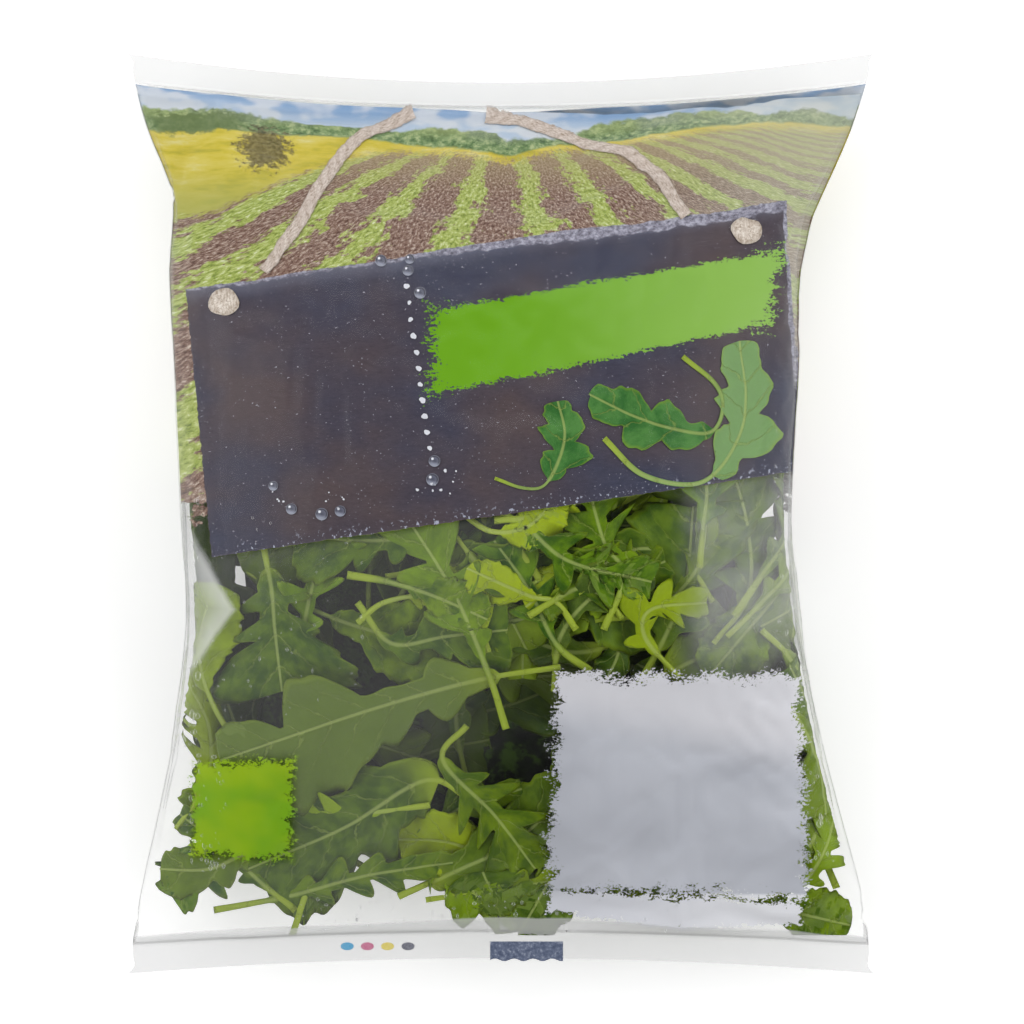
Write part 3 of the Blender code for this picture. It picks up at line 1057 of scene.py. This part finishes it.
def scatterLeaves():
    rng = random.Random(41)
    for kind, path, width, depth in frontLeaves:
        growLeaf(kind, path, width, depth, rng, lift=rng.uniform(-0.6, 0.6), ruffle=0.9,
                 cup=rng.uniform(-0.15, 0.1), steady=True)
    kinds = list(leafKinds)
    for count, layer, depths, reach, spread, lengths, widths in scattered:
        for number in range(count):
            kind = rng.choice(kinds)
            y = rng.uniform(*reach)
            left, right = [float(edge) / mm for edge in sides(y * mm)]
            x = (left + right) / 2 + (right - left) / 2 * rng.uniform(*spread)
            turn, bend = rng.uniform(0, 2 * math.pi), rng.uniform(-0.6, 0.6)
            level, depth = layer, rng.uniform(*depths)
            if layer is None:  # the ones that show at the side folds
                x = (right - left) / 2 * rng.choice((-1, 1)) * rng.uniform(0.72, spread[1])
                x += (left + right) / 2
                turn = math.pi / 2 * rng.choice((-1, 1)) + rng.uniform(-0.5, 0.5)
                level = rng.uniform(0.12, 0.88)
            length, width = rng.uniform(*lengths), rng.uniform(*widths)
            path = []
            for step in (-0.5, -0.17, 0.17, 0.5):
                angle = turn + bend * step * 2
                path.append((x + math.cos(angle) * length * step, y + math.sin(angle) * length * step))
            growLeaf(kind, path, width, depth, rng, layer=level, lift=rng.uniform(-2.5, 2.5),
                     ruffle=rng.uniform(0.9, 2.0), cup=rng.uniform(-0.45, 0.45))


scatterLeaves()
leafTones = {
    "splayed": (linear(56, 78, 18), linear(88, 110, 38), linear(102, 124, 44)),
    "deep": (linear(46, 82, 0), linear(98, 132, 6), linear(142, 168, 14)),
    "lyre": (linear(54, 82, 8), linear(92, 118, 22), linear(122, 146, 28)),
    "young": (linear(60, 90, 0), linear(116, 144, 8), linear(162, 182, 16)),
    "narrow": (linear(54, 84, 0), linear(104, 130, 10), linear(148, 170, 20)),
    "toothed": (linear(52, 78, 8), linear(88, 114, 22), linear(118, 142, 28)),
}
for kind, tones in leafTones.items():
    piece = gatherLeaves(kind, leafFinish("rocket leaf " + kind, *tones))
    print(kind, len(heaps[kind]), "leaves", len(piece.data.polygons) * 2, "triangles")

# the middle of the heap: a dark sheet standing in for the leaves deep inside, coloured near-black as painted
# shade
core = {"step": 3.0 * mm, "inset": 17 * mm, "fromEnds": 44 * mm, "thick": (0.30, 0.70), "relief": 2.6 * mm}


def makeCore():
    xs = int((high.x - low.x) / core["step"])
    ys = int((bagLength - 2 * core["fromEnds"]) / core["step"])
    rng = np.random.default_rng(7)
    lumps = rng.normal(0, 1, (2, xs + 1, ys + 1))
    for _ in range(2):
        lumps[:, 1:-1, 1:-1] = (lumps[:, 1:-1, 1:-1] * 2 + lumps[:, :-2, 1:-1] + lumps[:, 2:, 1:-1]
                                + lumps[:, 1:-1, :-2] + lumps[:, 1:-1, 2:]) / 6
    verts, faces = [], []
    for side in (0, 1):
        for i in range(xs + 1):
            for j in range(ys + 1):
                share = j / ys
                y = low.y + core["fromEnds"] + share * (bagLength - 2 * core["fromEnds"])
                left, right = sides(y)
                a = 2 * i / xs - 1
                x = (left + right) / 2 + a * ((right - left) / 2 - core["inset"])
                back, front = surfaces(x, y)
                edge = (1 - abs(a) ** 4) * (1 - abs(2 * share - 1) ** 6)
                level = core["thick"][side] * edge + 0.5 * (1 - edge)
                z = float(back + (front - back) * level) + core["relief"] * lumps[side, i, j] * edge
                verts.append((x, y, z))
    row, sheetCount = ys + 1, (xs + 1) * (ys + 1)
    for i in range(xs):
        for j in range(ys):
            quad = [i * row + j, (i + 1) * row + j, (i + 1) * row + j + 1, i * row + j + 1]
            faces += [quad[::-1], [corner + sheetCount for corner in quad]]
    rim = [i * row for i in range(xs)] + [xs * row + j for j in range(ys)]
    rim += [i * row + ys for i in range(xs, 0, -1)] + [j for j in range(ys, 0, -1)]
    for a, b in zip(rim, rim[1:] + rim[:1]):
        faces.append([a, b, b + sheetCount, a + sheetCount])
    finish = Finish("shaded heap", roughness=0.8)
    place = finish.node("ShaderNodeTexCoord", out=3)
    finish.where = place
    # painted shade: near-black greens for the shaded inside of the heap
    tint = finish.ramp(finish.noise(6 * mm, place, detail=5.0, rough=0.65),
                       (0.36, linear(5, 8, 2)), (0.52, linear(22, 34, 8)), (0.64, linear(60, 84, 22)))
    finish.feed(colour=tint)
    finish.bump(finish.noise(4 * mm, place, detail=4.0), 1.5 * mm, 0.8)
    newPiece("heap_core", verts, faces, finish.material)


makeCore()
print("heap filled")

# details printed over the field and the board
decor = {
    "depth": 0.07 * mm,
    "twines": (
        ((-25.6, 118.2), (-39.2, 112.2), (-44.2, 107.2), (-50.9, 97.6), (-56.7, 87.9), (-62.6, 80.0),
         (-69.4, 71.0)),
        ((-4.5, 117.6), (7.6, 115.1), (19.3, 111.3), (29.0, 107.4), (36.9, 104.9), (42.7, 100.5),
         (48.6, 95.5), (54.6, 87.0)),
    ),
    "twineWidth": 3.8,
    "knots": ((-80.7, 61.6, 4.3), (72.2, 82.6, 4.4)),
    "dots": ((-27.3, 66.0), (-20.6, 19.4)),
    "dotCount": 11,
    "specks": (((-24.9, -12.9), (6.0, 13.0), (0.25, 0.5)), ((-72, -40), (1, 9), (0.2, 0.4))),
    "specksEach": 9,
    "drops": ((-34.8, 73.6, 1.7), (-26.4, 73.9, 1.4), (-26.9, 70.6, 1.6), (-23.4, 64.2, 1.7),
              (-19.3, 15.6, 1.7), (-19.9, 10.2, 1.8), (-60.8, 1.6, 1.6), (-52.0, 0.1, 1.8),
              (-46.6, 1.0, 1.6), (-66.1, 8.3, 1.4)),
    "leaves": (  # from the stalk to the tip, width, where the blade begins, and the stalk's half width
        (((-1.8, 10.6), (6.0, 7.9), (12.5, 8.4), (17.0, 16.0), (18.6, 24.0), (16.6, 33.0)), 16, 0.42, 0.45),
        (((53.0, 45.8), (62.6, 37.6), (64.6, 30.3), (61.0, 23.8), (51.0, 24.6), (40.0, 28.0), (25.6, 35.0)),
         18, 0.42, 0.65),
        (((30.1, 22.1), (40.7, 11.8), (54.3, 8.6), (62.5, 12.0), (69.4, 22.5), (71.6, 33.6), (69.9, 50.4)),
         21, 0.48, 0.75),
    ),
}
leafKinds["printed"] = {
    "sweep": 0.30, "web": 0.30,
    "left": ((0.80, 0.22, 0.60), (0.50, 0.17, 0.92), (0.20, 0.17, 0.60)),
    "right": ((0.84, 0.20, 0.50), (0.63, 0.17, 0.90), (0.34, 0.17, 1.00), (0.10, 0.12, 0.40)),
}


def onFilm(points, side=1, depth=decor["depth"]):  # from a place as seen, in mm, to the film
    grid = tube[side] - facings[side] * depth
    flat = seen[side][..., :2]
    gridJ, gridI = np.gradient(grid, axis=0), np.gradient(grid, axis=1)
    flatJ, flatI = np.gradient(flat, axis=0), np.gradient(flat, axis=1)
    result = []
    for place in points:
        j, i = np.unravel_index(((flat - place) ** 2).sum(axis=-1).argmin(), flat.shape[:2])
        slope = np.array([flatJ[j, i], flatI[j, i]]).T
        a, b = np.clip(np.linalg.solve(slope, np.asarray(place) - flat[j, i]), -1, 1)
        result.append(grid[j, i] + a * gridJ[j, i] + b * gridI[j, i])
    return result


def stampRound(verts, faces, places, x, y, radius, rng, uneven=0.0, count=20, rings=3):
    start = len(verts)
    flat, local = [(x, y)], [(0.0, 0.0)]
    swing = [rng.uniform(0, 6.3) for k in range(3)]
    for ring in range(1, rings + 1):
        for k in range(count):
            angle = 2 * math.pi * k / count
            size = 1 + uneven * (math.sin(2 * angle + swing[0]) + 0.6 * math.sin(3 * angle + swing[1])
                                 + 0.4 * math.sin(5 * angle + swing[2]))
            out = radius * size * ring / rings
            local.append((math.cos(angle) * ring / rings, math.sin(angle) * ring / rings))
            flat.append((x + out * math.cos(angle), y + out * math.sin(angle)))
    verts.extend(onFilm(flat))
    places.extend((a, b, rng.random()) for a, b in local)
    for k in range(count):
        follow = (k + 1) % count
        faces.append([start, start + 1 + k, start + 1 + follow])
        for ring in range(rings - 1):
            inner, outer = start + 1 + ring * count, start + 1 + (ring + 1) * count
            faces.append([inner + k, outer + k, outer + follow, inner + follow])


def stamps(name, rounds, finish, seed, uneven=0.0):
    verts, faces, places = [], [], []
    rng = random.Random(seed)
    for x, y, radius in rounds:
        stampRound(verts, faces, places, x, y, radius, rng, uneven)
    piece = newPiece(name, verts, faces, finish)
    store(piece, "stamp", places)
    return piece


def knotFinish():
    finish = Finish("knot print", roughness=0.6)
    x, y, part = finish.place("stamp")
    strands = finish.noise(0.22, detail=4.0, rough=0.6, stretch=(1.4, 0.5, 1.0))
    tone = finish.ramp(
        strands, (0.36, linear(166, 148, 130)), (0.5, linear(210, 196, 182)), (0.62, linear(234, 226, 216)),
    )
    edge = finish.step((x * x + y * y) ** 0.5, 0.5, 1.0)
    finish.feed(colour=finish.mix(edge * 0.45, tone, linear(150, 134, 116)))
    return finish.material


def twineFinish():
    finish = Finish("twine print", roughness=0.6)
    out, forward, part = finish.place("stamp")
    uneven = finish.noise(3.0, detail=3.0)
    twist = ((forward * 1.45 + out * 1.5) + uneven * 5.0).wave()
    fray = finish.noise(0.5, detail=5.0, rough=0.75, stretch=(1.3, 0.42, 1.0))
    tone = finish.ramp(
        twist * 0.07 + 2.0 * fray - 0.5,
        (0.2, linear(158, 138, 120)), (0.5, linear(206, 190, 178)), (0.8, linear(230, 220, 212)),
    )
    finish.feed(colour=finish.mix(finish.step(abs(out), 1.0, 2.1) * 0.35, tone, linear(150, 134, 118)))
    finish.seeThrough(finish.step(abs(out) + (fray - 0.5) * 3.0, 2.05, 1.75) * 0.95)
    return finish.material


def dropFinish():
    finish = Finish("water drop print", roughness=0.4)
    x, y, part = finish.place("stamp")
    reach = (x * x + y * y) ** 0.5
    glint = ((x + 0.35) * (x + 0.35) + (y - 0.4) * (y - 0.4)) ** 0.5
    shade = finish.ramp(
        reach, (0.0, linear(70, 72, 88)), (0.62, linear(96, 98, 116)), (0.8, linear(42, 42, 52)),
        (1.0, linear(128, 130, 146)),
    )
    shade = finish.mix(finish.step(y + 0.2 * x, 0.0, -0.8) * 0.6, shade, linear(180, 186, 204))
    finish.feed(colour=finish.mix(finish.step(glint, 0.30, 0.14), shade, linear(236, 238, 246)))
    return finish.material


def printTwine():
    verts, faces, places = [], [], []
    ribs = np.linspace(-1, 1, 7)
    for path in decor["twines"]:
        line, length = curve(path, 70)
        heading = np.gradient(line, axis=0)
        heading /= np.linalg.norm(heading, axis=1)[:, None]
        start = len(verts)
        for k, (place, (hx, hy)) in enumerate(zip(line, heading)):
            half = decor["twineWidth"] / 2 * (1 + 0.10 * math.sin(k * 1.3) + 0.05 * math.sin(k * 2.9))
            flat = [(place[0] + hy * half * rib, place[1] - hx * half * rib) for rib in ribs]
            verts.extend(onFilm(flat))
            places.extend((half * rib, length * k / 69, 0.0) for rib in ribs)
        faces += stripFaces(len(line), len(ribs), start)
    store(newPiece("print_twine", verts, faces, twineFinish()), "stamp", places)


def printLeaves():
    verts, faces, places, traits = [], [], [], []
    rng = random.Random(5)
    crossing = [-s for s in leaf["ring"][::-1]] + list(leaf["ring"][1:])
    for path, width, begin, stalk in decor["leaves"]:
        line, length = curve(path, leaf["stations"])
        stations = np.linspace(0, 1, len(line))
        heading = np.gradient(line, axis=0)
        heading /= np.linalg.norm(heading, axis=1)[:, None]
        blade = np.clip((stations - begin) / (1 - begin), 0, 1)
        sizes = [halfWidths("printed", side, rng, blade) * width / 2 for side in ("left", "right")]
        start, tone = len(verts), 1.1 if width > 20 else 0.3
        for k, (place, (hx, hy)) in enumerate(zip(line, heading)):
            for s in crossing:
                half = max(sizes[int(s > 0)][k], stalk * (1.15 - 0.7 * stations[k]))
                half *= min(1.0, (1 - stations[k]) / 0.03) ** 0.5
                ahead = leafKinds["printed"]["sweep"] * abs(s) ** 1.3 * half * min(1.0, blade[k] * 6)
                verts.append((place[0] + hy * half * s + hx * ahead, place[1] - hx * half * s + hy * ahead))
                places.append((half * s, length * stations[k], abs(s)))
                traits.append((tone, 0.1 + 0.9 * stations[k], 0.0))
        faces += stripFaces(len(line), len(crossing), start)
    finish = leafFinish("printed leaf", linear(50, 104, 46), linear(82, 134, 66), linear(128, 164, 104))
    piece = newPiece("print_leaves", onFilm(verts, depth=0.10 * mm), faces, finish)
    store(piece, "blade", places)
    store(piece, "trait", traits)


def printDetails():
    rng = random.Random(12)
    stamps("print_knots", decor["knots"], knotFinish(), 3, uneven=0.07)
    chalk = Finish("chalk print", roughness=0.6)
    chalk.feed(colour=linear(222, 224, 232))
    (ax, ay), (bx, by) = decor["dots"]
    dots = []
    for k in range(decor["dotCount"]):
        share = k / (decor["dotCount"] - 1)
        x = ax + (bx - ax) * share + rng.uniform(-0.3, 0.3)
        dots.append((x, ay + (by - ay) * share, rng.uniform(0.5, 0.95)))
    for xs, ys, radii in decor["specks"]:
        for k in range(decor["specksEach"]):
            dots.append((rng.uniform(*xs), rng.uniform(*ys), rng.uniform(*radii)))
    stamps("print_dots", dots, chalk.material, 4, uneven=0.12)
    stamps("print_drops", decor["drops"], dropFinish(), 5)


printTwine()
printLeaves()
printDetails()
print("details printed")

# marks on the bottom seal, the lap seam down the back, and the moisture inside
marks = {
    "dotY": -126.6,
    "dots": ((-45.0, linear(40, 156, 204)), (-39.1, linear(196, 92, 132)), (-33.2, linear(224, 204, 72)),
             (-27.2, linear(78, 80, 98))),
    "dotSize": (1.9, 1.15),
    "eyeMark": (-3.2, 18.1, -130.6, -125.2),
    "above": 0.12 * mm,
}


def sealMarks():
    level = sealHeight + marks["above"]
    spread = (viewDistance + view["level"] - sealHeight) / viewDistance
    for number, (x, colour) in enumerate(marks["dots"]):
        angles = [2 * math.pi * k / 28 for k in range(28)]
        wide, tall = marks["dotSize"]
        flat = [(x + wide * math.cos(a), marks["dotY"] + tall * math.sin(a)) for a in angles]
        verts = [(flatX * spread * mm, flatY * spread * mm, level) for flatX, flatY in flat]
        ink = Finish("seal ink %d" % number, roughness=0.5)
        ink.where = ink.node("ShaderNodeTexCoord", out=3)
        ink.feed(colour=ink.mix(ink.noise(0.6 * mm) * 0.3, colour, linear(235, 235, 238)))
        newPiece("seal_dot_%d" % (number + 1), verts, [list(range(28))], ink.material)
    left, right, foot, top = [edge * spread * mm for edge in marks["eyeMark"]]
    verts, faces = [], []
    columns = 24
    for k in range(columns + 1):
        x = left + (right - left) * k / columns
        verts += [(x, foot + 0.0004 * math.sin(k), level), (x, top, level)]
    for k in range(columns):
        faces.append([2 * k, 2 * k + 2, 2 * k + 3, 2 * k + 1])
    ink = Finish("eye mark ink", roughness=0.5)
    ink.where = ink.node("ShaderNodeTexCoord", out=3)
    weave = ink.noise(1.1 * mm, detail=4.0, rough=0.7)
    ink.feed(colour=ink.ramp(weave, (0.35, linear(72, 82, 108)), (0.55, linear(104, 114, 138)),
                                 (0.7, linear(164, 170, 186))))
    newPiece("seal_eye_mark", verts, faces, ink.material)


lap = {"middle": -6.0, "half": 5.5, "ends": (-121.0, 117.0), "rows": 120, "columns": 7, "above": 0.12 * mm}


def backSeam():
    ys = np.linspace(*lap["ends"], lap["rows"])
    xs = np.linspace(-lap["half"], lap["half"], lap["columns"]) + lap["middle"]
    verts, places = [], []
    for y in ys:
        verts += onFilm([(x, y) for x in xs], side=-1, depth=-lap["above"])
        places += [(x, y, 0.0) for x in xs]
    faces = [[b, a, d, c] for a, b, c, d in stripFaces(lap["rows"], lap["columns"])]
    seam = Finish("lap seam", metallic=1.0, roughness=0.25)
    x, y, z = seam.place("seen")
    seam.feed(colour=(0.96, 0.965, 0.97))
    ribs = (y * 2.6).wave() * 0.5 + 0.5
    edge = seam.step(abs(x - lap["middle"]), lap["half"] - 0.5, lap["half"])
    seam.seeThrough(0.14 + 0.10 * ribs + 0.25 * edge)
    seam.bump(ribs, 0.2 * mm, 0.4)
    store(newPiece("back_seam", verts, faces, seam.material), "seen", places)


moistureDrops = {
    "seed": 23,
    "depth": 0.25 * mm,
    "fromSides": 3 * mm,
    "flatness": 0.35,
    "zones": (  # how many, across, along, largest drop
        (150, (-95, -88), (-72, 8), 0.9), (70, (-92, -80), (-104, -70), 0.8),
        (60, (86, 98), (-110, -50), 0.7), (90, (-60, 60), (-122, -112), 0.7),
        (60, (80, 92), (-50, 30), 0.6), (70, (-84, -40), (-60, 0), 0.45),
    ),
}


def moisture():
    rng = random.Random(moistureDrops["seed"])
    gap = moistureDrops["fromSides"]
    flat, sizes = [], []
    for count, xs, ys, most in moistureDrops["zones"]:
        for k in range(count):
            flat.append((rng.uniform(*xs), rng.uniform(*ys)))
            sizes.append(most * rng.uniform(0.25, 1.0) ** 1.5)
    kept = [(place, size) for place, size in zip(flat, sizes)
            if sides(place[1] * mm)[0] + gap < place[0] * mm < sides(place[1] * mm)[1] - gap]
    centres = onFilm([place for place, size in kept], depth=moistureDrops["depth"])
    model = bmesh.new()
    bmesh.ops.create_icosphere(model, subdivisions=2, radius=1.0)
    shape = np.array([tuple(vert.co) for vert in model.verts])
    triangles = [[vert.index for vert in face.verts] for face in model.faces]
    model.free()
    verts, faces = [], []
    for centre, (place, size) in zip(centres, kept):
        start = len(verts)
        stretch = (rng.uniform(0.8, 1.2), rng.uniform(0.8, 1.9), moistureDrops["flatness"])
        stretch = np.array(stretch) * size * mm
        verts += list(shape * stretch + centre)
        faces += [[start + corner for corner in triangle] for triangle in triangles]
    water = Finish("condensation", metallic=1.0, roughness=0.05)
    water.feed(colour=(0.98, 0.985, 0.99))
    facing = water.node("ShaderNodeLayerWeight", sockets={"Blend": 0.5}, out=1)
    water.seeThrough(0.10 + 0.5 * facing ** 2.0)
    newPiece("condensation", verts, faces, water.material)


sealMarks()
backSeam()
moisture()
print("seals, seam and moisture made")

# floor, light and camera
studio = {
    "overhead": 0.22,
    "horizon": 0.85,
    "floor": 0.93,
    "lift": 0.36,
    "lamps": (((-0.95, 0.1, 0.75), 1.0, 5.0), ((0.95, 0.0, 0.75), 1.0, 5.0), ((0.0, 1.0, 0.9), 1.0, 4.0)),
    "aim": (0.0, 0.0, 0.03),
    "halfFloor": 3.0,
    "underBag": 0.3 * mm,
}


def makeStudio():
    scene = bpy.context.scene
    mesh = bpy.data.meshes.new("floor")
    half = studio["halfFloor"]
    corners = ((-half, -half, 0), (half, -half, 0), (half, half, 0), (-half, half, 0))
    mesh.from_pydata(corners, [], [(0, 1, 2, 3)])
    floor = bpy.data.objects.new("floor", mesh)
    floor.location.z = -studio["underBag"]
    scene.collection.objects.link(floor)
    paper = Finish("pale floor", roughness=0.9)
    paper.feed(colour=(studio["floor"],) * 3)
    paper.feed(glow=(1.0, 1.0, 1.0))
    paper.plug(paper.shader.inputs["Emission Strength"], paper.node("ShaderNodeLightPath") * studio["lift"])
    mesh.materials.append(paper.material)
    world = bpy.data.worlds.new("studio")
    world.use_nodes = True
    nodes, links = world.node_tree.nodes, world.node_tree.links
    place, split, fade = [nodes.new("ShaderNode" + kind) for kind in ("TexCoord", "SeparateXYZ", "MapRange")]
    links.new(place.outputs["Generated"], split.inputs[0])
    links.new(split.outputs["Z"], fade.inputs["Value"])
    fade.inputs["To Min"].default_value = studio["horizon"]
    fade.inputs["To Max"].default_value = studio["overhead"]
    links.new(fade.outputs[0], nodes["Background"].inputs["Strength"])
    nodes["Background"].inputs["Color"].default_value = (1.0, 1.0, 1.0, 1.0)
    scene.world = world
    for place, size, power in studio["lamps"]:
        lamp = bpy.data.lights.new("softbox", "AREA")
        lamp.size, lamp.energy = size, power
        holder = bpy.data.objects.new("softbox", lamp)
        holder.location = place
        holder.rotation_mode = "QUATERNION"
        holder.rotation_quaternion = (Vector(studio["aim"]) - Vector(place)).to_track_quat("-Z", "Y")
        scene.collection.objects.link(holder)
    lens = bpy.data.cameras.new("camera")
    lens.lens, lens.sensor_width = view["lens"], view["sensor"]
    camera = bpy.data.objects.new("camera", lens)
    camera.location = (*view["centre"], view["level"] + viewDistance)
    scene.collection.objects.link(camera)
    scene.camera = camera
    scene.view_settings.view_transform = "Standard"


makeStudio()
print("studio ready")
